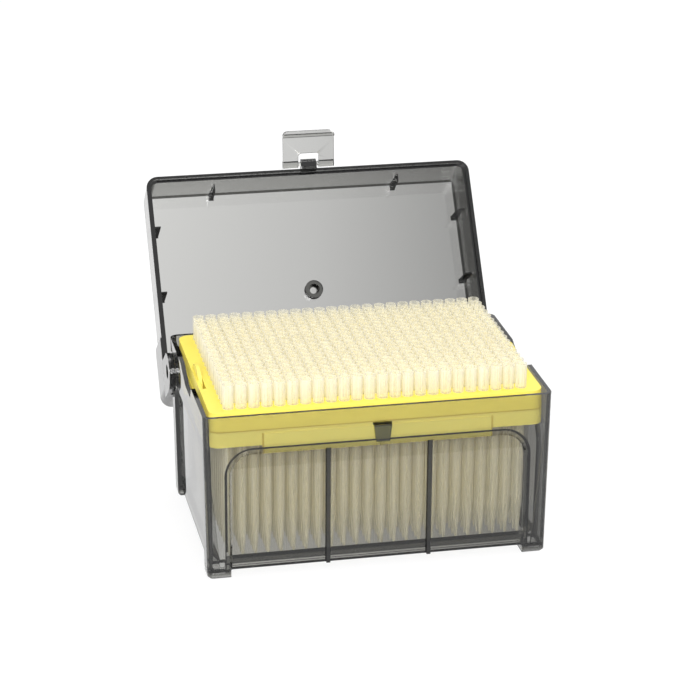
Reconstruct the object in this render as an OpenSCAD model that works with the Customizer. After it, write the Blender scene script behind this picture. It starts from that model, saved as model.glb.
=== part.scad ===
// Hinged box of 384 pipette tips: smoke-clear base and lid, yellow tip tray,
// tips in 16 rows of 24. The origin is at the middle of the footprint, on the
// ground. X runs along the rows, Y from front to back, Z up.

/* [Tip grid] */
// Spacing of the tips in both directions
pitch = 4.5; // [4.4:0.05:4.8]
// Tips in one row
columns = 24; // [12:1:24]
// Rows of tips
rows = 16; // [8:1:16]

/* [Tips] */
// Outer radius of a tip's collar
collar_r = 2.0; // [1.8:0.05:2.1]
// Height of the collar above the deck
collar_h = 8.8; // [6:0.1:11]
// Outer radius of the tip's body just under the deck
body_r = 1.66; // [1.4:0.02:1.75]
// Outer radius where the tip's point begins
shoulder_r = 1.42; // [1.2:0.02:1.6]
// Length of the tapered point
point_l = 13.5; // [9:0.5:20]
// Outer radius of the tip's end
end_r = 0.42; // [0.35:0.01:0.6]
// Wall of a tip
tip_wall = 0.36; // [0.3:0.01:0.5]
// Radius of the end's opening
end_bore_r = 0.2; // [0.15:0.01:0.25]
// Clear height between a tip's end and the floor
tip_clear = 0.7; // [0.5:0.1:3]

/* [Base] */
// Height of the base's rim above the ground
rim_h = 60.8; // [56:0.2:70]
// Gap between the outermost tip's axis and the outside of a side wall
side_margin = 9.75; // [9.5:0.05:12]
// Gap between the outermost tip's axis and the outside of the front wall
front_margin = 7.65; // [7.5:0.05:10]
// Corner radius of the rim
corner_r = 3; // [2.8:0.1:4.6]
// How far each wall leans in from the rim to the ground
wall_lean = 0.9; // [0.4:0.1:1]
// Wall of the base
wall = 1.5; // [1.2:0.05:1.6]
// Depth of the recessed windows
recess = 1.2; // [0.8:0.1:1.3]
// Depth of the recessed side panels
side_recess = 1.5; // [1.3:0.1:1.7]
// Height of the skirt's lower edge
skirt_z = 2.8; // [2:0.1:4]
// Height of the line where the sunk floor meets the walls
floor_line_z = 9.6; // [9:0.1:11]
// Depth of the sunk floor below that line
floor_drop = 5.3; // [4:0.1:5.6]
// Width of the slope around the sunk floor
floor_slope = 4; // [3:0.1:4.5]
// Bevel around the underside of each foot
foot_bevel = 0.8; // [0.4:0.1:1.2]
// Width of the frame beside the front window
frame_w = 8.7; // [8.4:0.1:12]
// Height of the rim above the front window's top
window_drop = 13.8; // [13.6:0.1:18]
// Height of the rim above the side panel's top
panel_drop = 14.1; // [14.1:0.1:18]
// Radius of the window's top corners
window_r = 8.8; // [4:0.2:10]
// Width of the bevel around the window
window_bevel = 1; // [0.5:0.1:1.4]
// Width of a window rib
rib_w = 1.4; // [1:0.1:2]
// Columns of tips in the window's middle bay
bay_columns = 8; // [4:2:12]
// Width of the finger notch
notch_w = 26; // [22:1:30]
// Depth of the finger notch
notch_d = 4.6; // [3:0.2:5]
// Length of the notch's steep front slope
notch_front = 3.5; // [1:0.5:5]
// Length of the notch's gentle back slope
notch_back = 11; // [4:0.5:13]
// Width of a corner web at its foot
web_w = 3.6; // [2:0.2:4]
// Width of the lip inside the skirt's lower edge
skirt_lip = 2; // [1:0.1:2.2]

/* [Catch and clip] */
// Width of the catch at its top
catch_w = 6.2; // [5:0.2:7]
// Height of the catch
catch_h = 6.2; // [4:0.1:6.4]
// How far the catch stands out of the wall
catch_d = 1.7; // [1.6:0.05:3]
// Distance of the catch to the right of the middle
catch_x = 0.7; // [-1:0.1:1]
// Width of the clip
clip_w = 19.8; // [14:0.2:26]
// Wall of the clip
clip_t = 1.2; // [1:0.1:1.4]
// Length of the clip from its pivot to its free end
clip_l = 13; // [12.6:0.1:14]
// Height of the clip's notch, from the pivot
clip_notch = 4.5; // [4:0.1:4.5]
// Radius of the clip's barrels
barrel_r = 1.4; // [1.3:0.05:1.6]
// Radius of the clip's stub pins
stub_r = 0.8; // [0.7:0.05:0.9]
// Width of the lug that carries the clip
lug_w = 5.8; // [5:0.1:6.4]
// How far the clip is turned open
clip_open = 58; // [0:1:70]

/* [Lid] */
// Height of the lid
lid_h = 20; // [18:0.2:26]
// How far the lid's rim laps over the base's rim
lap = 1.4; // [1:0.1:1.6]
// Thickness of the lapping rim
lap_t = 1; // [0.9:0.05:1.2]
// Gap between the lid and the base's rim
lid_gap = 0.4; // [0.35:0.01:0.5]
// Wall of the lid above its ledge
lid_wall = 1.9; // [1.85:0.05:2.4]
// Thickness of the lid's panel
panel_t = 1.2; // [1:0.05:1.6]
// How far each wall of the lid leans in towards its panel
lid_lean = 0.6; // [0.4:0.1:1]
// Length of a wedge rib down the lid's wall
wedge_h = 11.8; // [10:0.2:16]
// How far a wedge rib stands out of the wall
wedge_d = 2.8; // [2:0.1:3]
// Thickness of a wedge rib at the panel
wedge_t = 1.5; // [1:0.1:2]
// Thickness of a wedge rib at its other end
wedge_end = 0.5; // [0.3:0.1:1]
// Radius of the ring around the moulding gate
gate_r = 3.5; // [3:0.1:4]
// Height of that ring
gate_h = 2.5; // [1:0.1:2.6]
// How far the lid can turn before its rim meets the back wall
lid_stop = 125; // [100:1:128]
// How far the lid is turned open
lid_open = 125; // [0:0.5:125]

/* [Lid hinge] */
// Height of the pivot below the rim
pivot_drop = 12.3; // [12.1:0.1:14]
// Distance of the pivot from the outside of the back wall
pivot_in = 5.5; // [5.4:0.05:5.6]
// Radius of the pivot stud
stud_r = 2.5; // [1.8:0.1:3]
// Radial gap between the stud and the ear's bore
stud_gap = 0.05; // [0.03:0.01:0.08]
// Radius of the ear's thick hub
hub_r = 6.7; // [5:0.1:6.8]
// Thickness of the ear's plate
ear_t = 1.55; // [1.2:0.05:1.8]
// Thickness of the hub behind the ear's plate
hub_t = 1.7; // [1.2:0.1:1.8]
// Length of the pad on the lid's side wall
pad_l = 22.7; // [18:0.1:26]

/* [Tray] */
// Height of the deck above the rim
deck_proud = 0.4; // [0:0.1:0.6]
// Thickness of the deck
deck_t = 1.6; // [1.2:0.1:2]
// Wall of the tray's skirt
tray_wall = 1.2; // [1:0.05:1.3]
// Gap between the tray's deck and the base
tray_gap = 1.1; // [0.9:0.05:1.2]
// Corner radius of the deck
tray_r = 4; // [3.5:0.1:5]
// Height of the skirt's upper band, from the deck's top
band_h = 6.7; // [5:0.1:8]
// How far the lower band steps in at the front and back
tray_step = 0.9; // [0.8:0.05:1]
// How far the lower band steps out at the sides
side_step = 0.25; // [0:0.05:0.3]
// How far the drop panel stands proud of the skirt's lower band
drop_proud = 0.3; // [0.2:0.05:0.35]
// Height of the skirt's lower edge below the deck
skirt_drop = 12.7; // [9:0.1:12.7]
// Height of the drop panel's lower edge below the deck
drop_h = 15.6; // [14:0.1:17]
// Length of the pocket behind each finger notch
pocket_l = 22.5; // [16:0.5:24]
// Width of that pocket
pocket_w = 1.3; // [1:0.1:1.5]
// Depth of that pocket
pocket_d = 3; // [1:0.1:3.5]
// Half width of the drop panel, in columns of tips
drop_columns = 9; // [6:1:10]
// Gap between a tip's body and its hole
hole_gap = 0.1; // [0.06:0.02:0.2]
// Width of the tongue on each side
tongue_w = 24; // [16:1:25]
// Height of the tongue's lower end below the deck
tongue_h = 21; // [18:0.5:24]

/* [Hidden] */
$fn = 64;
sides = [-1, 1];

smoke = [0.42, 0.44, 0.47, 0.45];
lemon = [0.99, 0.92, 0.40];
natural = [0.97, 0.96, 0.90];

// heights of the tops of the front window and the side panel
window_z = rim_h - window_drop;
panel_z = rim_h - panel_drop;

// half sizes of the base at its rim
grid_x = (columns - 1) * pitch / 2;
grid_y = (rows - 1) * pitch / 2;
half_x = grid_x + side_margin;
half_y = grid_y + front_margin;
// how far the wall has leaned in at a height
function lean_at(z) = wall_lean * (rim_h - z) / rim_h;
function wall_y(z) = half_y - lean_at(z);

// pivot of the lid, and the height of the lid's rim when it is shut
pivot_y = half_y - pivot_in;
pivot_z = rim_h - pivot_drop;
lid_z = rim_h - lap;
ledge_z = rim_h + 0.2;
lid_x = half_x + lid_gap + lap_t;
lid_y = half_y + lid_gap + lap_t;
lid_r = corner_r + lid_gap + lap_t;
ear_x = lid_x + 0.45;
ear_r = lid_y - pivot_y;
hub_x = ear_x - ear_t - hub_t;
pocket_x = hub_x - 0.55;
pocket_r = hub_r + 0.8;
relief_r = norm([half_y - pivot_y, rim_h - pivot_z]) + 0.4;

// deck of the tray
deck_z = rim_h + deck_proud;
tray_x = half_x - wall - tray_gap - 0.1;
tray_y = half_y - wall - tray_gap - 0.1;
band_z = deck_z - band_h;
low_z = deck_z - skirt_drop;
low_x = tray_x + side_step;
low_y = tray_y - tray_step;
// outside of the tongues, and the middle of the pockets behind them
tongue_x = tray_x - tray_step;
pocket_mid_x = tray_x - tray_wall - pocket_w / 2;
pocket_mid_y = (notch_front - notch_back) / 2 + 0.4;

// floor and tips
floor_z = floor_line_z - floor_drop;
tip_end_z = floor_z + tip_clear;
cell_w = frame_w + window_bevel - 0.5;

// clip: its pivot when the lid is shut, and the catch it hooks under
clip_gap = 0.3;
catch_top = window_z + catch_h + 1.4;
catch_bottom = catch_top - catch_h;
catch_y = wall_y(catch_top) + catch_d;
clip_y = catch_y + clip_gap;
clip_pivot_y = clip_y + barrel_r - 0.1;
clip_pivot_z = catch_top + clip_notch + 0.1;
lip_t = 1;
flare_h = clip_pivot_z - clip_l;

// A block whose four sides lean in by the same amount towards its bottom. The
// half sizes are those of its top.
module sharp_block(hx, hy, z0, z1, lean) {
    h = z1 - z0;
    translate([0, 0, z0])
        intersection() {
            rotate([90, 0, 0])
                linear_extrude(2 * hy + 2, center = true)
                    polygon([[lean - hx, 0], [hx - lean, 0], [hx, h], [-hx, h]]);
            rotate([90, 0, 90])
                linear_extrude(2 * hx + 2, center = true)
                    polygon([[lean - hy, 0], [hy - lean, 0], [hy, h], [-hy, h]]);
        }
}

// The same with cones for corners; the corner radius is that of its top
module leaning_block(hx, hy, r, z0, z1, lean) {
    h = z1 - z0;
    translate([0, 0, z0]) {
        for (sx = sides, sy = sides)
            translate([sx * (hx - r), sy * (hy - r), 0])
                cylinder(h = h, r1 = r - lean, r2 = r);
        rotate([90, 0, 0])
            linear_extrude(2 * (hy - r), center = true)
                polygon([[lean - hx, 0], [hx - lean, 0], [hx, h], [-hx, h]]);
        rotate([90, 0, 90])
            linear_extrude(2 * (hx - r), center = true)
                polygon([[lean - hy, 0], [hy - lean, 0], [hy, h], [-hy, h]]);
    }
}

// The same again as one hull
module smooth_block(hx, hy, r, z0, z1, lean) {
    hull()
        for (sx = sides, sy = sides)
            translate([sx * (hx - r), sy * (hy - r), z0])
                cylinder(h = z1 - z0, r1 = r - lean, r2 = r, $fn = 48);
}

// A block that follows the base's outer faces, set in by inset, from z0 to z1
module base_block(inset, z0, z1) {
    s = lean_at(z1) + inset;
    smooth_block(half_x - s, half_y - s, corner_r - s, z0, z1,
                 wall_lean * (z1 - z0) / rim_h);
}

// The block behind the recessed walls, also set in by inset
module recessed_block(inset, z0, z1) {
    s = lean_at(z1) + inset;
    sharp_block(half_x - s - side_recess, half_y - s - recess, z0, z1,
                wall_lean * (z1 - z0) / rim_h);
}

// A cutter for a recessed window, drawn flat: open below, with round top
// corners and sides that slope in by the bevel. Grown by grow for the inside.
module window_cutter(half_w, top, depth, grow) {
    deep = depth * 1.5;
    bevel = window_bevel * deep / depth;
    drop = 2 * top;
    translate([0, top + grow - drop, -deep - grow])
        leaning_block(half_w + grow, drop, window_r + grow, 0, deep, bevel);
    translate([0, top + grow - drop, -grow - 0.01])
        leaning_block(half_w + grow, drop, window_r + grow, 0, 3 * wall, 0);
}

// Cutters for the four walls, square to their lean, with or without the ribs
module windows(grow, ribs) {
    tilt_y = atan(wall_lean / rim_h);
    for (a = [0, 180])
        rotate([0, 0, a])
            translate([0, -half_y, rim_h])
                rotate([90 + tilt_y, 0, 0])
                    translate([0, -rim_h, 0])
                        difference() {
                            window_cutter(half_x - frame_w, window_z, recess, grow);
                            if (ribs)
                                for (s = sides)
                                    translate([s * bay_columns / 2 * pitch - rib_w / 2, -1, -2 * wall])
                                        cube([rib_w, window_z + 2, 4 * wall]);
                        }
    for (a = [90, 270])
        rotate([0, 0, a])
            translate([0, -half_x, rim_h])
                rotate([90 + tilt_y, 0, 0])
                    translate([0, -rim_h, 0])
                        window_cutter(half_y - frame_w, panel_z, side_recess, grow);
}

// The cross-shaped space between the four corner cells, grown by grow
module between_cells(grow, z0, z1) {
    for (size = [[half_x - cell_w + grow, 2 * half_y], [2 * half_x, half_y - cell_w + grow]])
        translate([-size[0], -size[1], z0])
            cube([2 * size[0], 2 * size[1], z1 - z0]);
}

// What the bevel around the feet takes away
module foot_edge() {
    over = 1;
    difference() {
        translate([-2 * half_x, -2 * half_y, -over / 2])
            cube([4 * half_x, 4 * half_y, foot_bevel + over]);
        smooth_block(half_x - wall_lean + over, half_y - wall_lean + over,
                     corner_r - wall_lean + over, -over, foot_bevel + over,
                     foot_bevel + 2 * over);
    }
}

module base_outside() {
    difference() {
        union() {
            difference() {
                base_block(0, 0, rim_h);
                windows(0, true);
            }
            recessed_block(0, skirt_z / 2, rim_h);
        }
        between_cells(0, -1, skirt_z);
        foot_edge();
    }
}

// The space over the sunk floor, whose sides slope in by floor_slope
module pan(grow, top) {
    slope = floor_slope / floor_drop;
    rise = top - floor_z + grow;
    s = lean_at(floor_line_z) + wall + floor_slope - slope * rise;
    sharp_block(half_x - s, half_y - s, floor_z - grow, top, slope * rise);
}

module base_inside() {
    top = rim_h + 1;
    intersection() {
        recessed_block(wall, floor_z - 1, top);
        pan(0, top);
    }
    difference() {
        base_block(wall, wall, top);
        windows(wall, false);
        between_cells(wall, 0, floor_line_z);
    }
}

// The space under the sunk floor, inside the skirt
module base_under() {
    lip_top = skirt_z + 1.2;
    difference() {
        union() {
            recessed_block(wall, lip_top, floor_line_z);
            recessed_block(wall + skirt_lip, -1, lip_top + 0.1);
        }
        pan(wall, floor_line_z + 1);
        difference() {
            translate([-2 * half_x, -2 * half_y, -2])
                cube([4 * half_x, 4 * half_y, floor_line_z + 4]);
            between_cells(0, -3, floor_line_z + 3);
        }
    }
}

module finger_notch() {
    rise = 1;
    bottom = rim_h - notch_d;
    steep = notch_front / notch_d;
    gentle = notch_back / notch_d;
    rotate([90, 0, 90])
        linear_extrude(wall * 6, center = true)
            polygon([[-notch_w / 2 - rise * steep, rim_h + rise], [-notch_w / 2 + notch_front, bottom],
                     [notch_w / 2 - notch_back, bottom], [notch_w / 2 + rise * gentle, rim_h + rise]]);
}

module front_catch() {
    // block with a flat top and tapering cheeks, and its stem
    translate([catch_x, 0.6 - wall_y(catch_bottom), 0])
        rotate([90, 0, 0])
            linear_extrude(catch_y - wall_y(catch_bottom) + 0.6)
                polygon([[-0.38 * catch_w, catch_bottom], [0.38 * catch_w, catch_bottom],
                         [0.5 * catch_w, catch_top], [-0.5 * catch_w, catch_top]]);
    translate([catch_x - 0.6, -wall_y(window_z) - 0.7, window_z - 0.5])
        cube([1.2, 1.2, catch_bottom - window_z + 1]);
}

// A shape near the back of the right side wall and its mirror image on the left
module both_sides() {
    for (s = [0, 1])
        mirror([s, 0, 0])
            children();
}

module at_pivot(x) {
    translate([x, pivot_y, pivot_z])
        rotate([0, 90, 0])
            children();
}

module base() {
    color(smoke)
        difference() {
            union() {
                difference() {
                    base_outside();
                    base_inside();
                    base_under();
                }
                hinge_seat();
                corner_webs();
                front_catch();
            }
            both_sides() {
                difference() {
                    at_pivot(pocket_x)
                        cylinder(h = half_x, r = pocket_r);
                    pivot_stud();
                }
                translate([half_x, 0, 0])
                    finger_notch();
            }
        }
}

// Eight-sided pad behind the hinge pocket, ending inside the back wall
module hinge_seat() {
    r = pocket_r + wall;
    both_sides()
        intersection() {
            at_pivot(pocket_x - wall)
                rotate([0, 0, 22.5])
                    cylinder(h = 1.5 * wall, r = r, $fn = 8);
            translate([0, half_y - 2 * wall / 3 - 2 * r, pivot_z - 2 * r])
                cube([half_x, 2 * r, 4 * r]);
        }
}

module pivot_stud() {
    end = ear_x + 0.4;
    at_pivot(pocket_x - 0.5) {
        cylinder(h = end - pocket_x, r = stud_r);
        translate([0, 0, end - pocket_x - 0.01])
            cylinder(h = 0.5, r1 = stud_r, r2 = stud_r - 0.5);
    }
}

// Tapering webs that stiffen the side walls near their corners
module corner_webs() {
    top = low_z - 0.6;
    root = half_x - wall + 0.3;
    foot = wall - 0.2;
    for (sx = [0, 1], sy = sides)
        mirror([sx, 0, 0])
            translate([0, sy * (low_y - 0.5), 0])
                rotate([90, 0, 0])
                    linear_extrude(wall, center = true)
                        polygon([[root - 0.5, top], [root, top], [root - lean_at(foot), foot],
                                 [root - lean_at(foot) - web_w, foot]]);
}

// Tray -------------------------------------------------------------------

module rounded_2d(hx, hy, r) {
    square([2 * hx, 2 * (hy - r)], center = true);
    square([2 * (hx - r), 2 * hy], center = true);
    for (sx = sides, sy = sides)
        translate([sx * (hx - r), sy * (hy - r)])
            circle(r);
}

module ring_2d(hx, hy, r, t) {
    difference() {
        rounded_2d(hx, hy, r);
        rounded_2d(hx - t, hy - t, r - t);
    }
}

module tip_tray() {
    color(lemon) {
        difference() {
            union() {
                // deck with its holes
                translate([0, 0, deck_z - deck_t])
                    linear_extrude(deck_t)
                        difference() {
                            rounded_2d(tray_x, tray_y, tray_r);
                            for (i = [0 : columns - 1], j = [0 : rows - 1])
                                translate([i * pitch - grid_x, j * pitch - grid_y])
                                    circle(body_r + hole_gap);
                        }
                notch_pocket(1);
                // upper band, the step below it, and the lower band
                translate([0, 0, band_z])
                    linear_extrude(band_h - 0.5)
                        ring_2d(tray_x, tray_y, tray_r, tray_wall);
                translate([0, 0, band_z])
                    linear_extrude(tray_wall)
                        ring_2d(tray_x - 0.1, tray_y - 0.1, tray_r - 0.1, tray_step + tray_wall - 0.1);
                translate([0, 0, low_z])
                    linear_extrude(band_z - low_z + tray_wall - 0.1)
                        ring_2d(low_x, low_y, tray_r - tray_step / 2, tray_wall);
                drop_panels();
            }
            notch_pocket(0);
            tongue_gaps();
            hinge_relief();
        }
        tongues();
    }
}

// A long pocket in the deck behind each finger notch, tapering at its back end,
// or the solid around it when it is grown by t
module notch_pocket(t) {
    hw = pocket_w / 2 + t;
    hl = pocket_l / 2 + t;
    floor_t = deck_z - pocket_d - t;
    both_sides()
        translate([pocket_mid_x, pocket_mid_y, floor_t])
            linear_extrude(t == 0 ? pocket_d + 1 : pocket_d + t - 0.3)
                polygon([[-hw, -hl], [hw, -hl], [hw, 0.5 * hl], [-hw, hl]]);
}

// Panels that hang from the middle of the front and back of the skirt
module drop_panels() {
    top = band_z - 1.6;
    h = top - (deck_z - drop_h);
    for (s = sides)
        translate([0, s * (low_y - (tray_wall - drop_proud) / 2), top - h / 2])
            cube([2 * drop_columns * pitch, tray_wall + drop_proud, h], center = true);
}

// A tongue's outline in the side view, with a round lower end
module tongue_2d(grow) {
    r = tongue_w / 2 + grow;
    mid = deck_z - tongue_h + tongue_w / 2;
    translate([0, mid])
        circle(r);
    translate([-r, mid])
        square([2 * r, band_z + tray_wall / 2 - mid]);
}

module tongues() {
    both_sides()
        translate([tongue_x - tray_wall, 0, 0])
            rotate([90, 0, 90])
                linear_extrude(tray_wall)
                    tongue_2d(0);
}

module tongue_gaps() {
    both_sides()
        translate([tongue_x - 2 * tray_wall, 0, 0])
            rotate([90, 0, 90])
                linear_extrude(4 * tray_wall)
                    intersection() {
                        tongue_2d(0.8);
                        translate([-tongue_w, 0])
                            square([2 * tongue_w, band_z - 0.1]);
                    }
}

// Room in the skirt for the seats of the hinge pockets
module hinge_relief() {
    both_sides()
        translate([pocket_x - wall - 0.4, pivot_y - pocket_r - wall - 0.6, 0])
            cube([half_x, half_y, pivot_z + pocket_r + wall + 0.6]);
}

// Tips -------------------------------------------------------------------

// One tip's section: out along the collar and down to the point, back up inside
module tip_2d() {
    seat = deck_z + 0.05;
    top = deck_z + collar_h;
    shoulder = tip_end_z + point_l;
    polygon([[collar_r, top], [collar_r, seat], [body_r, seat], [shoulder_r, shoulder],
             [end_r, tip_end_z], [end_bore_r, tip_end_z],
             [shoulder_r - tip_wall, shoulder + 0.3], [body_r - tip_wall, seat + 0.4],
             [collar_r - tip_wall, seat + 1.2], [collar_r - tip_wall, top]]);
}

// A row of tips; row 0 is at the back
module tips_row(row) {
    color(natural)
        for (i = [0 : columns - 1])
            translate([i * pitch - grid_x, grid_y - row * pitch, 0])
                rotate_extrude($fn = 40)
                    tip_2d();
}

// Lid --------------------------------------------------------------------

// A block like the lid's outside when shut, set in by inset, from z0 up to z1
module lid_block(inset_x, inset_y, r, z0, z1, lean) {
    translate([0, 0, z0])
        mirror([0, 0, 1])
            leaning_block(lid_x - inset_x, lid_y - inset_y, r, z0 - z1, 0, lean);
}

// A rib that hangs from the panel along a wall to its -X side and tapers to a
// thin end; its root is buried in the wall
module wedge() {
    root = 0.7;
    translate([root, 0, 0])
        rotate([90, 0, -90])
            linear_extrude(wedge_d + root)
                polygon([[-wedge_end / 2, -wedge_h], [wedge_end / 2, -wedge_h],
                         [wedge_t / 2, 0.3], [-wedge_t / 2, 0.3]]);
}

module lid_wedges() {
    inner_z = lid_z + lid_h - panel_t;
    across = bay_columns * pitch;
    for (sx = sides, sy = sides)
        translate([sx * across, sy * (lid_y - lid_wall - 0.1), inner_z])
            rotate([0, 0, sy * 90])
                wedge();
    for (sx = sides, y = [-5.55 * pitch, 0.18 * pitch])
        translate([sx * (lid_x - lid_wall - 0.1), y, inner_z])
            rotate([0, 0, sx < 0 ? 180 : 0])
                wedge();
}

module lid_ears() {
    both_sides() {
        difference() {
            union() {
                at_pivot(ear_x - ear_t)
                    cylinder(h = ear_t, r = ear_r);
                translate([ear_x - ear_t, pivot_y - ear_r, pivot_z])
                    cube([ear_t, 2 * ear_r, lid_z - pivot_z + 2]);
                at_pivot(hub_x)
                    cylinder(h = hub_t + 0.1, r = hub_r);
            }
            at_pivot(0)
                cylinder(h = 2 * half_x, r = stud_r + stud_gap);
        }
    }
}

module clip_lug() {
    r = stub_r + 1.1;
    difference() {
        union() {
            translate([-lug_w / 2, -clip_pivot_y, clip_pivot_z])
                rotate([0, 90, 0])
                    cylinder(h = lug_w, r = r);
            translate([-lug_w / 2, -clip_pivot_y, clip_pivot_z - r])
                cube([lug_w, clip_pivot_y - lid_y + 0.8, 2 * r]);
        }
        translate([-lug_w, -clip_pivot_y, clip_pivot_z])
            rotate([0, 90, 0])
                cylinder(h = 2 * lug_w, r = stub_r + stud_gap);
    }
}

// What the rear rim loses so that it lies flat on the back wall when open
module rim_flat() {
    reach = norm([lid_y - pivot_y, lid_z - pivot_z]);
    stop_y = wall_y(pivot_z - reach) - pivot_y + 0.3;
    translate([0, pivot_y, pivot_z])
        rotate([lid_stop, 0, 0])
            translate([-half_x - lid_gap / 2, stop_y - 3, -reach - 2])
                cube([2 * half_x + lid_gap, 3, 6]);
}

module lid_shut() {
    top = lid_z + lid_h;
    edge = 1.2;
    difference() {
        union() {
            lid_block(0, 0, lid_r, lid_z, top - edge, lid_lean);
            lid_block(lid_lean, lid_lean, lid_r - lid_lean, top - edge - 0.01, top, edge);
            // pads that carry the ears
            intersection() {
                lid_block(lid_x - ear_x, 0, lid_r, lid_z, top - edge, 0.1);
                translate([-2 * lid_x, lid_y - pad_l, 0])
                    cube([4 * lid_x, 2 * pad_l, 2 * top]);
            }
        }
        // room inside, and the rim that laps over the base
        lid_block(lid_wall, lid_wall, lid_r - lid_wall, lid_z - 1, top - panel_t, 0.3);
        lid_block(lap_t, lap_t, lid_r - lap_t, lid_z - 1, ledge_z, 0);
        // room for the ledge to swing past the base's rim
        intersection() {
            translate([lap_t - lid_x, pivot_y, pivot_z])
                rotate([0, 90, 0])
                    cylinder(h = 2 * (lid_x - lap_t), r = relief_r);
            translate([-2 * lid_x, -lid_y, 0])
                cube([4 * lid_x, 2 * lid_y - lap_t, 2 * top]);
        }
        rim_flat();
    }
    // ring around the moulding gate, its bore flaring downwards
    translate([0, 0.75, top - panel_t - gate_h])
        difference() {
            cylinder(h = gate_h + 0.2, r = gate_r);
            translate([0, 0, -0.1])
                cylinder(h = gate_h + 0.1, r1 = 0.6 * gate_r, r2 = 0.36 * gate_r);
        }
    lid_wedges();
    lid_ears();
    clip_lug();
}

// Turns what is drawn shut to the lid's open position
module lid_swing() {
    translate([0, pivot_y, pivot_z])
        rotate([-lid_open, 0, 0])
            translate([0, -pivot_y, -pivot_z])
                children();
}

module lid() {
    color(smoke)
        lid_swing()
            lid_shut();
}

// Clip -------------------------------------------------------------------

module clip_plate_2d() {
    r = 2;
    hull() {
        translate([-clip_w / 2, clip_pivot_z - 1])
            square([clip_w, 1]);
        for (s = sides)
            translate([s * (clip_w / 2 - r), flare_h + r])
                circle(r);
    }
}

// An opening whose two lower corners are round, standing on its lower edge
module notch_2d(hx, h, r) {
    hull() {
        translate([-hx, h - 1])
            square([2 * hx, 1]);
        for (s = sides)
            translate([s * (hx - r), r])
                circle(r);
    }
}

module latch_clip_shut() {
    lip_z = catch_bottom - clip_gap - lip_t;
    fold_z = catch_bottom + 0.8;
    // plate, notched around the lug, with its free end flared
    difference() {
        intersection() {
            rotate([90, 0, 0])
                linear_extrude(lid_y + 20)
                    clip_plate_2d();
            rotate([90, 0, 90])
                linear_extrude(clip_w + 2, center = true)
                    polygon([[-clip_y, clip_pivot_z], [-clip_y, fold_z],
                             [-clip_y - 0.9, flare_h], [-clip_y - 0.9 - clip_t, flare_h],
                             [-clip_y - clip_t, fold_z], [-clip_y - clip_t, clip_pivot_z]]);
        }
        translate([0, -clip_y + clip_t, clip_pivot_z - clip_notch])
            rotate([90, 0, 0])
                linear_extrude(3 * clip_t)
                    notch_2d(lug_w / 2 + 1.1, clip_notch + 1, 1.2);
    }
    // lip that hooks under the catch
    translate([-clip_w / 2, -clip_y - 0.6, lip_z])
        cube([clip_w, 1.8, lip_t]);
    // barrels and stub pins
    for (s = [0, 1])
        mirror([s, 0, 0])
            translate([0, -clip_pivot_y, clip_pivot_z])
                rotate([0, 90, 0]) {
                    translate([0, 0, lug_w / 2 + 1.1])
                        cylinder(h = (clip_w - lug_w) / 2 - 1.1, r = barrel_r);
                    translate([0, 0, 1])
                        cylinder(h = lug_w / 2 + 0.6, r = stub_r);
                }
}

module latch_clip() {
    color(smoke)
        lid_swing()
            translate([0, -clip_pivot_y, clip_pivot_z])
                rotate([-clip_open, 0, 0])
                    translate([0, clip_pivot_y, -clip_pivot_z])
                        latch_clip_shut();
}

base();
tip_tray();
tips_row(0);  // tips_row_a
tips_row(1);  // tips_row_b
tips_row(2);  // tips_row_c
tips_row(3);  // tips_row_d
tips_row(4);  // tips_row_e
tips_row(5);  // tips_row_f
tips_row(6);  // tips_row_g
tips_row(7);  // tips_row_h
tips_row(8);  // tips_row_i
tips_row(9);  // tips_row_j
tips_row(10);  // tips_row_k
tips_row(11);  // tips_row_l
tips_row(12);  // tips_row_m
tips_row(13);  // tips_row_n
tips_row(14);  // tips_row_o
tips_row(15);  // tips_row_p
lid();
latch_clip();
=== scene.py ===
"""A hinged, smoke-tinted box of pipette tips: its looks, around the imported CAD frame."""
import math

import bpy
from mathutils import Matrix, Vector


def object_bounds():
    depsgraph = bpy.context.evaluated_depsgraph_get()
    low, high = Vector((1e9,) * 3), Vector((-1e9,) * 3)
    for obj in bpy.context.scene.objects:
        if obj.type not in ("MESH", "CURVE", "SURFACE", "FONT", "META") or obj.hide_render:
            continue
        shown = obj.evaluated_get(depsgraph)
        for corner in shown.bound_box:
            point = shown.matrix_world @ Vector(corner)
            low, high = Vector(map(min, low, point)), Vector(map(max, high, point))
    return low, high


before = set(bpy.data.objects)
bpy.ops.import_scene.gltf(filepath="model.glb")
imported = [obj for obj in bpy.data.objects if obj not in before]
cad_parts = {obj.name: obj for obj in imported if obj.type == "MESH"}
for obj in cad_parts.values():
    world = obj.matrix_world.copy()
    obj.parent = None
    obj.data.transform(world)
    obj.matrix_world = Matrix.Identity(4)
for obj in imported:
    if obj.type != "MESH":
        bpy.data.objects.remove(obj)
cad_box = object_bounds()


# ---------------------------------------------------------------- Camera
# A long lens, a little to the left of the box's front and above its rim, with no
# shift and no depth of field.

MM = 0.001
AIM = Vector((-2.19 * MM, 0, 66.1 * MM))
AIM_DISTANCE = 901 * MM
ROUND = math.radians(-11.83)
ABOVE = math.radians(21.02)
ROLL = math.radians(0.295)
SENSOR = 36
LENS = 129.8

turn = Matrix.Rotation(ROUND, 3, "Z")
turn = turn @ Matrix.Rotation(math.pi / 2 - ABOVE, 3, "X")
turn = turn @ Matrix.Rotation(ROLL, 3, "Z")
bpy.ops.object.camera_add(location=AIM + turn.col[2] * AIM_DISTANCE, rotation=turn.to_euler())
camera = bpy.context.object
camera.name = "camera"
camera.data.sensor_width = SENSOR
camera.data.lens = LENS
camera.data.clip_start = 0.05
camera.data.clip_end = 20
bpy.context.scene.camera = camera


# ---------------------------------------------------------------- Studio
# A white sweep under even, soft light. The eye sees it as white. Seen through clear plastic
# it has painted shade, paler on the left than on the right, standing for less light reaching its
# right.

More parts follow.
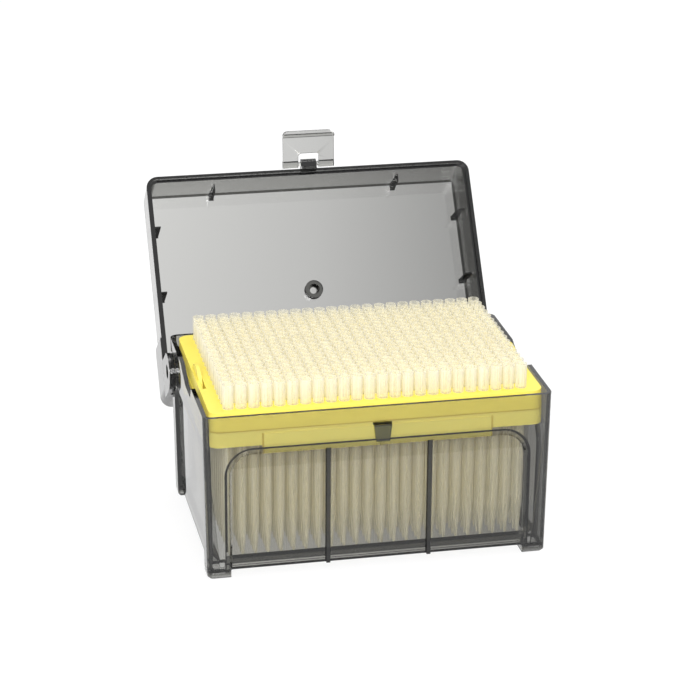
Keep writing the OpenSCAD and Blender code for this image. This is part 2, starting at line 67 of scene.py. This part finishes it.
bpy.context.scene.view_settings.view_transform = "Standard"
bpy.context.scene.cycles.max_bounces = 24
bpy.context.scene.cycles.transmission_bounces = 20
bpy.context.scene.cycles.transparent_max_bounces = 64

# strength of the even light, and of the dark flags beside the sweep
SKY_LIGHT = 0.62
FLAGS = 0.12


def linear(code):
    """An sRGB hex value as the linear colour that a socket takes."""
    parts = [int(code[i:i + 2], 16) / 255 for i in (1, 3, 5)]
    return [p / 12.92 if p <= 0.04045 else ((p + 0.055) / 1.055) ** 2.4 for p in parts] + [1.0]


def add(tree, kind, values=None, links=None, **settings):
    """Adds a node, sets its options and input values, and links its inputs from other outputs."""
    made = tree.nodes.new(kind)
    for name, value in settings.items():
        setattr(made, name, value)
    for name, value in (values or {}).items():
        made.inputs[name].default_value = value
    for name, source in (links or {}).items():
        tree.links.new(source, made.inputs[name])
    return made


def new_material(name):
    """An empty node material and its tree."""
    made = bpy.data.materials.new(name)
    made.use_nodes = True
    made.node_tree.nodes.clear()
    return made, made.node_tree


def seen_directly(tree):
    """1 for rays from the eye, a mirror or glass, and 0 for the light that falls on things."""
    path = add(tree, "ShaderNodeLightPath")
    both = add(tree, "ShaderNodeMath", operation="MAXIMUM",
               links={0: path.outputs["Is Camera Ray"], 1: path.outputs["Is Glossy Ray"]})
    return add(tree, "ShaderNodeMath", operation="MAXIMUM",
               links={0: both.outputs[0], 1: path.outputs["Is Transmission Ray"]}).outputs[0]


def inside_plastic(tree):
    """1 for rays that were mirrored inside clear plastic, which see only the dark flags."""
    path = add(tree, "ShaderNodeLightPath")
    mirrored = add(tree, "ShaderNodeMath", {1: 0.5}, {0: path.outputs["Glossy Depth"]},
                   operation="GREATER_THAN")
    return add(tree, "ShaderNodeMath", operation="MULTIPLY",
               links={0: mirrored.outputs[0], 1: path.outputs["Is Transmission Ray"]}).outputs[0]


world = bpy.data.worlds.new("studio")
world.use_nodes = True
bpy.context.scene.world = world
tree = world.node_tree
tree.nodes.clear()
lit, seen, flags = [
    add(tree, "ShaderNodeBackground", {"Color": linear("#FFFFFF"), "Strength": strength}).outputs[0]
    for strength in (SKY_LIGHT, 1.0, FLAGS)]
either = add(tree, "ShaderNodeMixShader", links={0: seen_directly(tree), 1: lit, 2: seen})
either = add(tree, "ShaderNodeMixShader",
             links={0: inside_plastic(tree), 1: either.outputs[0], 2: flags})
add(tree, "ShaderNodeOutputWorld", links={"Surface": either.outputs[0]})


def softbox(name, place, size, power):
    """A square softbox that faces the middle of the box."""
    aim = Vector((0, 0, 50 * MM)) - Vector(place)
    bpy.ops.object.light_add(type="AREA", location=place,
                             rotation=aim.to_track_quat("-Z", "Y").to_euler())
    made = bpy.context.object
    made.name = name
    made.data.shape = "SQUARE"
    made.data.size = size
    made.data.energy = power


softbox("key_lamp", (-0.35, -1.1, 0.55), size=0.7, power=16)
softbox("top_lamp", (0.35, 0.25, 1.2), size=0.8, power=7)

# The sweep's paper. Through clear plastic it shows painted shade: its brightness falls by the
# shades below, from the first place to the second of ACROSS, in metres across the view.
FLOOR_SIZE = 6.0
ACROSS = (-0.1, 0.3)
PAINTED_SHADES = ((0.0, 1.0), (0.2, 0.79), (0.365, 0.5), (1.0, 0.14))

bpy.ops.object.select_all(action="DESELECT")
bpy.ops.mesh.primitive_plane_add(size=FLOOR_SIZE, location=(0, 0, cad_box[0].z))
floor = bpy.context.object
floor.name = "floor"
bpy.ops.object.transform_apply(location=True, rotation=True, scale=True)

paper, tree = new_material("white_paper_sweep")
bounce = add(tree, "ShaderNodeBsdfDiffuse", {"Color": linear("#E6E6E6")})
faint = add(tree, "ShaderNodeBsdfDiffuse", {"Color": linear("#8C8C8C")})
glow = add(tree, "ShaderNodeEmission", {"Color": linear("#FFFFFF"), "Strength": 0.78})
shown = add(tree, "ShaderNodeAddShader", links={0: faint.outputs[0], 1: glow.outputs[0]})
place = add(tree, "ShaderNodeTexCoord")
across = add(tree, "ShaderNodeVectorMath", {1: (math.cos(ROUND), math.sin(ROUND), 0)},
             {0: place.outputs["Object"]}, operation="DOT_PRODUCT")
along = add(tree, "ShaderNodeMapRange", {"From Min": ACROSS[0], "From Max": ACROSS[1]},
            {"Value": across.outputs["Value"]})
# painted shade on the sweep, shown only to rays through clear plastic: darker towards the right
painted_fall_off = add(tree, "ShaderNodeValToRGB", links={0: along.outputs[0]})
stops = painted_fall_off.color_ramp.elements
for at, shade in PAINTED_SHADES[1:-1]:
    stops.new(at)
for stop, (at, shade) in zip(stops, PAINTED_SHADES):
    stop.color = (shade, shade, shade, 1.0)
painted_shade_through_plastic = add(tree, "ShaderNodeEmission", links={"Color": painted_fall_off.outputs[0]})
through = add(tree, "ShaderNodeLightPath").outputs["Is Transmission Ray"]
shown = add(tree, "ShaderNodeMixShader",
            links={0: through, 1: shown.outputs[0], 2: painted_shade_through_plastic.outputs[0]})
either = add(tree, "ShaderNodeMixShader",
             links={0: seen_directly(tree), 1: bounce.outputs[0], 2: shown.outputs[0]})
dark = add(tree, "ShaderNodeEmission", {"Color": linear("#FFFFFF"), "Strength": FLAGS})
either = add(tree, "ShaderNodeMixShader",
             links={0: inside_plastic(tree), 1: either.outputs[0], 2: dark.outputs[0]})
add(tree, "ShaderNodeOutputMaterial", links={"Surface": either.outputs[0]})
floor.data.materials.append(paper)


# ---------------------------------------------------------------- Box, lid and catch clip
# Three mouldings of smoke-grey clear styrene, with a polished finish from the mould. The tint
# is in the plastic, so an edge or a rib, seen along its length, is nearly black; painted shade
# darkens them more.
# The lid turns on studs in the base's side walls, and the clip in the lid's lug.

# the lid's pivot in the base, and how far the lid stands open
PIVOT_Y = 35.9
PIVOT_Z = 48.5
PIVOT = (0, PIVOT_Y * MM, PIVOT_Z * MM)
OPEN_ANGLE = math.radians(125)

# Painted shade where the plastic looks dark, being thick or seen edge-on: a shade, the
# places, and the axes on which both sides are alike. A place is (middle, reach) in mm for x,
# y and z, with the box shut, and None leaves an axis out.
LEFT_AND_RIGHT = (0,)
ALL_ROUND = (0, 1)

PAINTED_SHADE_IN_BASE = (
    # painted shade over the long walls between their corner posts, and above them
    ("#E0DED6", (((0.0, 53.0), (40.6, 2.2), (24.8, 24.8)),), ALL_ROUND),
    ("#E8E7E2", ((None, (40.9, 1.3), (56.0, 6.4)),), ALL_ROUND),
    # painted shade on the back corners, seen along the back wall
    ("#6A6A6A", (((59.6, 1.8), (39.9, 1.9), (21.0, 21.0)),), LEFT_AND_RIGHT),
    # painted shade on the ribs in the long windows, the lips under the walls and the soles of the
    # feet
    ("#141414", (((18.0, 0.95), (40.4, 1.2), (24.9, 22.0)),
                 (None, (40.6, 2.2), (3.0, 0.5)),
                 ((60.4, 2.2), None, (3.0, 0.5)),
                 (None, None, (0.0, 0.7))), ALL_ROUND),
    # painted shade on the pivot studs
    ("#141414", (((61.0, 3.2), (PIVOT_Y, 3.4), (PIVOT_Z, 3.4)),), LEFT_AND_RIGHT),
    # painted shade with a painted bluish reflection on the catch, and painted shade on its upper
    # edge
    ("#505878", (((0.7, 3.4), (-42.5, 1.15), (51.5, 3.3)),), ()),
    ("#202024", (((0.7, 3.4), (-42.5, 1.4), (54.6, 0.5)),), ()),
)

PAINTED_SHADE_IN_LID = (
    # painted shade on the end walls
    ("#A8A8A6", (((62.0, 1.2), None, None),), ALL_ROUND),
    # painted shade on the wedge ribs on the long walls
    ("#1A1A1A", (((36.0, 1.0), (39.2, 1.35), (72.3, 6.0)),), ALL_ROUND),
    # painted shade on the wedge ribs on the end walls, the clip's lug and the hinge hubs
    ("#1A1A1A", (((59.3, 1.35), (-25.0, 1.0), (72.3, 6.0)),
                 ((59.3, 1.35), (0.8, 1.0), (72.3, 6.0)),
                 ((0.0, 3.2), (-45.0, 2.1), None),
                 ((60.6, 1.8), (PIVOT_Y, 6.9), (PIVOT_Z, 6.9))), LEFT_AND_RIGHT),
    # painted shade on the ring round the gate mark
    ("#6E6E6C", (((0.0, 3.7), (0.75, 3.7), (76.6, 1.5)),), LEFT_AND_RIGHT),
    # painted shade on the end faces of the lapped rim
    ("#242424", ((None, None, (59.4, 0.3)),
                 (None, None, (61.0, 0.3))), ()),
    # painted shade in the inner corner between the panel and the walls
    ("#2C2C2A", ((None, (40.6, 0.7), (77.9, 0.35)),
                 ((60.7, 0.7), None, (77.9, 0.35))), ALL_ROUND),
)


def inside(tree, point, places, alike=ALL_ROUND):
    """1 where a point lies in any of the places, and 0 elsewhere."""
    split = add(tree, "ShaderNodeSeparateXYZ", links={0: point})
    values = list(split.outputs)
    for axis in alike:
        values[axis] = add(tree, "ShaderNodeMath", links={0: values[axis]},
                           operation="ABSOLUTE").outputs[0]
    found = None
    for spans in places:
        here = None
        for value, span in zip(values, spans):
            if span is None:
                continue
            middle, reach = span
            within = add(tree, "ShaderNodeMath", {1: middle * MM, 2: reach * MM}, {0: value},
                         operation="COMPARE").outputs[0]
            if here is not None:
                within = add(tree, "ShaderNodeMath", links={0: here, 1: within},
                             operation="MULTIPLY").outputs[0]
            here = within
        if found is not None:
            here = add(tree, "ShaderNodeMath", links={0: found, 1: here},
                       operation="MAXIMUM").outputs[0]
        found = here
    return found


# painted shade on the faces that bend the light away
BENT_SHADE = "#8C8C8A"


def slanted(tree, normal):
    """0 on faces square to the axes, 1 on rounded edges and steps, which bend the light away."""
    upright = add(tree, "ShaderNodeVectorMath", links={0: normal}, operation="ABSOLUTE")
    split = add(tree, "ShaderNodeSeparateXYZ", links={0: upright.outputs[0]})
    sides = add(tree, "ShaderNodeMath", links={0: split.outputs[0], 1: split.outputs[1]},
                operation="MAXIMUM")
    flat = add(tree, "ShaderNodeMath", links={0: sides.outputs[0], 1: split.outputs[2]},
               operation="MAXIMUM")
    return add(tree, "ShaderNodeMapRange", {"From Min": 0.985, "From Max": 0.88},
               {"Value": flat.outputs[0]}).outputs[0]


def smoke_styrene(name, dye_strength, painted_shade_places, turn_back=0.0, pivot=(0, 0, 0)):
    """Clear polystyrene with a neutral dye, whose polished walls ripple a little; where places are
    given, it has painted shade on them and on slanted faces.

    turn_back and pivot undo the opening of a piece, since its places are given for the box shut.
    """
    made, tree = new_material(name)
    place = add(tree, "ShaderNodeTexCoord")
    # ripples about 11 mm apart and a hundredth of a millimetre high
    ripple = add(tree, "ShaderNodeTexNoise", {"Scale": 90.0, "Detail": 1.0},
                 {"Vector": place.outputs["Object"]})
    bump = add(tree, "ShaderNodeBump", {"Strength": 0.1, "Distance": 0.1 * MM},
               {"Height": ripple.outputs[0]})
    clear = add(tree, "ShaderNodeBsdfPrincipled",
                {"Base Color": linear("#FFFFFF"), "Roughness": 0.02, "IOR": 1.57,
                 "Transmission Weight": 1.0}, {"Normal": bump.outputs[0]})
    if painted_shade_places:
        from_pivot = add(tree, "ShaderNodeVectorMath", {1: pivot}, {0: place.outputs["Object"]},
                         operation="SUBTRACT")
        shut = add(tree, "ShaderNodeMapping", {"Rotation": (turn_back, 0, 0), "Location": pivot},
                   {"Vector": from_pivot.outputs[0]})
        true_normal = add(tree, "ShaderNodeVectorTransform",
                          links={0: add(tree, "ShaderNodeNewGeometry").outputs["True Normal"]},
                          vector_type="NORMAL", convert_from="WORLD", convert_to="OBJECT")
        facing = add(tree, "ShaderNodeMapping", {"Rotation": (turn_back, 0, 0)},
                     {"Vector": true_normal.outputs[0]}, vector_type="VECTOR")
        # painted shade: darker on slanted faces, and in each of the given places
        shade = add(tree, "ShaderNodeMix", {"A": linear("#FFFFFF"), "B": linear(BENT_SHADE)},
                    {"Factor": slanted(tree, facing.outputs[0])},
                    data_type="RGBA").outputs["Result"]
        for code, places, alike in painted_shade_places:
            shade = add(tree, "ShaderNodeMix", {"B": linear(code)},
                        {"Factor": inside(tree, shut.outputs[0], places, alike), "A": shade},
                        data_type="RGBA").outputs["Result"]
        tree.links.new(shade, clear.inputs["Base Color"])
    # shadows are those of clear plastic, so what is inside stays bright
    passed = add(tree, "ShaderNodeBsdfTransparent", {"Color": linear("#FFFFFF")})
    path = add(tree, "ShaderNodeLightPath")
    either = add(tree, "ShaderNodeMixShader",
                 links={0: path.outputs["Is Shadow Ray"], 1: clear.outputs[0],
                        2: passed.outputs[0]})
    dye = add(tree, "ShaderNodeVolumeAbsorption",
              {"Color": linear("#A0A098"), "Density": dye_strength})
    add(tree, "ShaderNodeOutputMaterial",
        links={"Surface": either.outputs[0], "Volume": dye.outputs[0]})
    return made


def finish_with(node_name, material):
    """Puts one material on a whole CAD node."""
    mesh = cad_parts[node_name].data
    mesh.materials.clear()
    mesh.materials.append(material)


def round_edges(node_name, radius, segments):
    """Gives the sharp edges of a CAD node the small radius that the mould leaves."""
    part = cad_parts[node_name]
    weld = part.modifiers.new("weld", "WELD")
    weld.merge_threshold = 0.005 * MM
    edge = part.modifiers.new("edge", "BEVEL")
    edge.limit_method = "ANGLE"
    edge.angle_limit = math.radians(28)
    edge.width = radius
    edge.segments = segments
    edge.use_clamp_overlap = True
    shading = part.modifiers.new("shading", "WEIGHTED_NORMAL")
    shading.mode = "FACE_AREA"
    shading.weight = 100
    shading.keep_sharp = False


# dye strengths are absorption densities, per metre of plastic
finish_with("base", smoke_styrene("smoke_tinted_polystyrene", 350.0, PAINTED_SHADE_IN_BASE))
finish_with("lid", smoke_styrene("smoke_tinted_polystyrene_lid", 560.0, PAINTED_SHADE_IN_LID,
                                 OPEN_ANGLE, PIVOT))
finish_with("latch_clip", smoke_styrene("smoke_tinted_polystyrene_clip", 450.0, ()))
for name in ("base", "lid", "latch_clip"):
    round_edges(name, radius=0.4 * MM, segments=3)


# ---------------------------------------------------------------- Tip tray
# One thin yellow polypropylene moulding, satin from a fine spark-eroded grain, with a
# broad soft highlight. A little light gets through its skirt.

# its lower band, which gets painted light, and the line of the step above that and the ends of the
# drop panels, which get painted shade
LOWER_BAND = ((None, None, (49.9, 4.3)),)
STEP_LINE = (None, None, (54.4, 0.4))
PANEL_ENDS = ((40.5, 0.4), (38.2, 0.5), (49.2, 3.8))


def yellow_polypropylene():
    """Painted light on the skirt's lower band, and painted shade along its step and its drop
    panels' ends.
    """
    made, tree = new_material("yellow_moulded_polypropylene")
    place = add(tree, "ShaderNodeTexCoord")
    # grain a few thousandths of a millimetre deep, and drawn 0.4 mm apart, coarser than
    # the real one, so that it shows
    grain = add(tree, "ShaderNodeTexNoise", {"Scale": 2500.0, "Detail": 2.0},
                {"Vector": place.outputs["Object"]})
    bump = add(tree, "ShaderNodeBump", {"Strength": 0.25, "Distance": 0.02 * MM},
               {"Height": grain.outputs[0]})
    # painted light on the lower band, then painted shade along the step and the panels' ends
    shade = add(tree, "ShaderNodeMix", {"A": linear("#FDF06C"), "B": linear("#FFF684")},
                {"Factor": inside(tree, place.outputs["Object"], LOWER_BAND)},
                data_type="RGBA")
    shade = add(tree, "ShaderNodeMix", {"B": linear("#DDC750")},
                {"Factor": inside(tree, place.outputs["Object"], (STEP_LINE, PANEL_ENDS)),
                 "A": shade.outputs["Result"]}, data_type="RGBA")
    solid = add(tree, "ShaderNodeBsdfPrincipled", {"Roughness": 0.42, "IOR": 1.49},
                {"Normal": bump.outputs[0], "Base Color": shade.outputs["Result"]})
    through = add(tree, "ShaderNodeBsdfTranslucent", {"Color": linear("#FFE04A")})
    both = add(tree, "ShaderNodeMixShader", {0: 0.2}, {1: solid.outputs[0], 2: through.outputs[0]})
    add(tree, "ShaderNodeOutputMaterial", links={"Surface": both.outputs[0]})
    return made


finish_with("tip_tray", yellow_polypropylene())


# ---------------------------------------------------------------- Pipette tips
# Undyed polypropylene, thin and milky: each tip glows with what is behind it, and is
# clearer face-on than along its outline. They hang in the tray by their collars.

def natural_polypropylene():
    """Milky plastic with the fine upright streaks that drawing from the mould leaves."""
    made, tree = new_material("natural_polypropylene")
    place = add(tree, "ShaderNodeTexCoord")
    # streaks about 0.9 mm apart round the tip and 45 mm long
    stretched = add(tree, "ShaderNodeMapping", {"Scale": (1.0, 1.0, 0.02)},
                    {"Vector": place.outputs["Object"]})
    streaks = add(tree, "ShaderNodeTexNoise",
                  {"Scale": 1100.0, "Detail": 1.0, "Roughness": 0.6},
                  {"Vector": stretched.outputs[0]})
    solid = add(tree, "ShaderNodeBsdfPrincipled",
                {"Base Color": linear("#F1EFE6"), "Roughness": 0.2, "IOR": 1.49})
    through = add(tree, "ShaderNodeBsdfTranslucent", {"Color": linear("#F1EFE6")})
    milky = add(tree, "ShaderNodeMixShader", {0: 0.5},
                {1: solid.outputs[0], 2: through.outputs[0]})
    clear = add(tree, "ShaderNodeBsdfTransparent", {"Color": linear("#FFFEF9")})
    facing = add(tree, "ShaderNodeLayerWeight", {"Blend": 0.4})
    clearness = add(tree, "ShaderNodeMapRange", {"To Min": 0.78, "To Max": 0.2},
                    {"Value": facing.outputs["Facing"]})
    streaked = add(tree, "ShaderNodeMapRange",
                   {"From Min": 0.35, "From Max": 0.65, "To Min": 0.86, "To Max": 1.12},
                   {"Value": streaks.outputs[0]})
    clearness = add(tree, "ShaderNodeMath",
                    links={0: clearness.outputs[0], 1: streaked.outputs[0]},
                    operation="MULTIPLY")
    # most light passes on to the tips behind, so the gaps between them stay pale
    path = add(tree, "ShaderNodeLightPath")
    passing = add(tree, "ShaderNodeMath", {1: 0.85}, {0: path.outputs["Is Shadow Ray"]},
                  operation="MULTIPLY")
    clearness = add(tree, "ShaderNodeMath",
                    links={0: clearness.outputs[0], 1: passing.outputs[0]},
                    operation="MAXIMUM")
    both = add(tree, "ShaderNodeMixShader",
               links={0: clearness.outputs[0], 1: milky.outputs[0], 2: clear.outputs[0]})
    add(tree, "ShaderNodeOutputMaterial", links={"Surface": both.outputs[0]})
    return made


natural = natural_polypropylene()
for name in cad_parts:
    if name.startswith("tips_row"):
        finish_with(name, natural)
